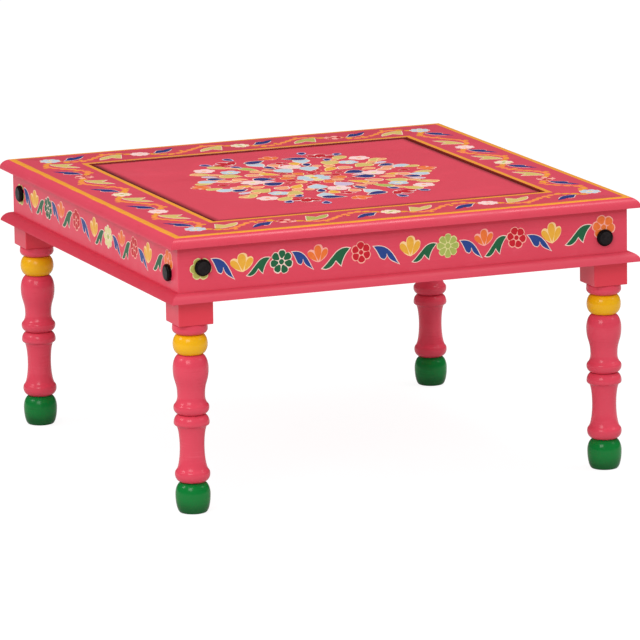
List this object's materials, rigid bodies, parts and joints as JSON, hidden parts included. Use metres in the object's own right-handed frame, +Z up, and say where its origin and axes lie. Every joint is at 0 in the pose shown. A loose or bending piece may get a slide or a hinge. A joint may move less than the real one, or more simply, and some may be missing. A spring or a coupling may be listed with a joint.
{
  "type": "bajot low table",
  "caption": "Low square painted table with a framed panel top, moulded edges, aprons pinned by round nails and turned legs.",
  "frame": {"origin": "on the floor under the middle of the table", "axes": "+Z up, -Y towards the front side, X along the front side"},
  "size_m": [0.594, 0.594, 0.33],
  "materials": {
    "leg_paint": "gloss paint",
    "apron_paint": "gloss paint",
    "moulding_paint": "gloss paint",
    "frame_paint": "gloss paint",
    "panel_paint": "gloss paint",
    "black_iron": "blackened",
    "bare_wood": "unfinished",
    "bright_steel": "zinc plated"
  },
  "bodies": {
    "root": {"leg_front_left": "leg_paint", "leg_front_right": "leg_paint", "leg_back_right": "leg_paint", "leg_back_left": "leg_paint", "apron_front": "apron_paint", "apron_right": "apron_paint", "apron_back": "apron_paint", "apron_left": "apron_paint", "lower_moulding_front": "moulding_paint", "lower_moulding_right": "moulding_paint", "lower_moulding_back": "moulding_paint", "lower_moulding_left": "moulding_paint", "top_rail_front": "frame_paint", "top_rail_right": "frame_paint", "top_rail_back": "frame_paint", "top_rail_left": "frame_paint", "top_panel": "panel_paint", "mitre_spline_front_left": "bare_wood", "mitre_spline_front_right": "bare_wood", "mitre_spline_back_right": "bare_wood", "mitre_spline_back_left": "bare_wood", "nail_front_a": "black_iron", "nail_front_b": "black_iron", "nail_right_a": "black_iron", "nail_right_b": "black_iron", "nail_back_a": "black_iron", "nail_back_b": "black_iron", "nail_left_a": "black_iron", "nail_left_b": "black_iron", "glue_block_front_a": "bare_wood", "glue_block_front_b": "bare_wood", "glue_block_right_a": "bare_wood", "glue_block_right_b": "bare_wood", "glue_block_back_a": "bare_wood", "glue_block_back_b": "bare_wood", "glue_block_left_a": "bare_wood", "glue_block_left_b": "bare_wood", "block_screw_front_a": "bright_steel", "block_screw_front_b": "bright_steel", "block_screw_right_a": "bright_steel", "block_screw_right_b": "bright_steel", "block_screw_back_a": "bright_steel", "block_screw_back_b": "bright_steel", "block_screw_left_a": "bright_steel", "block_screw_left_b": "bright_steel"}
  },
  "joints": []
}
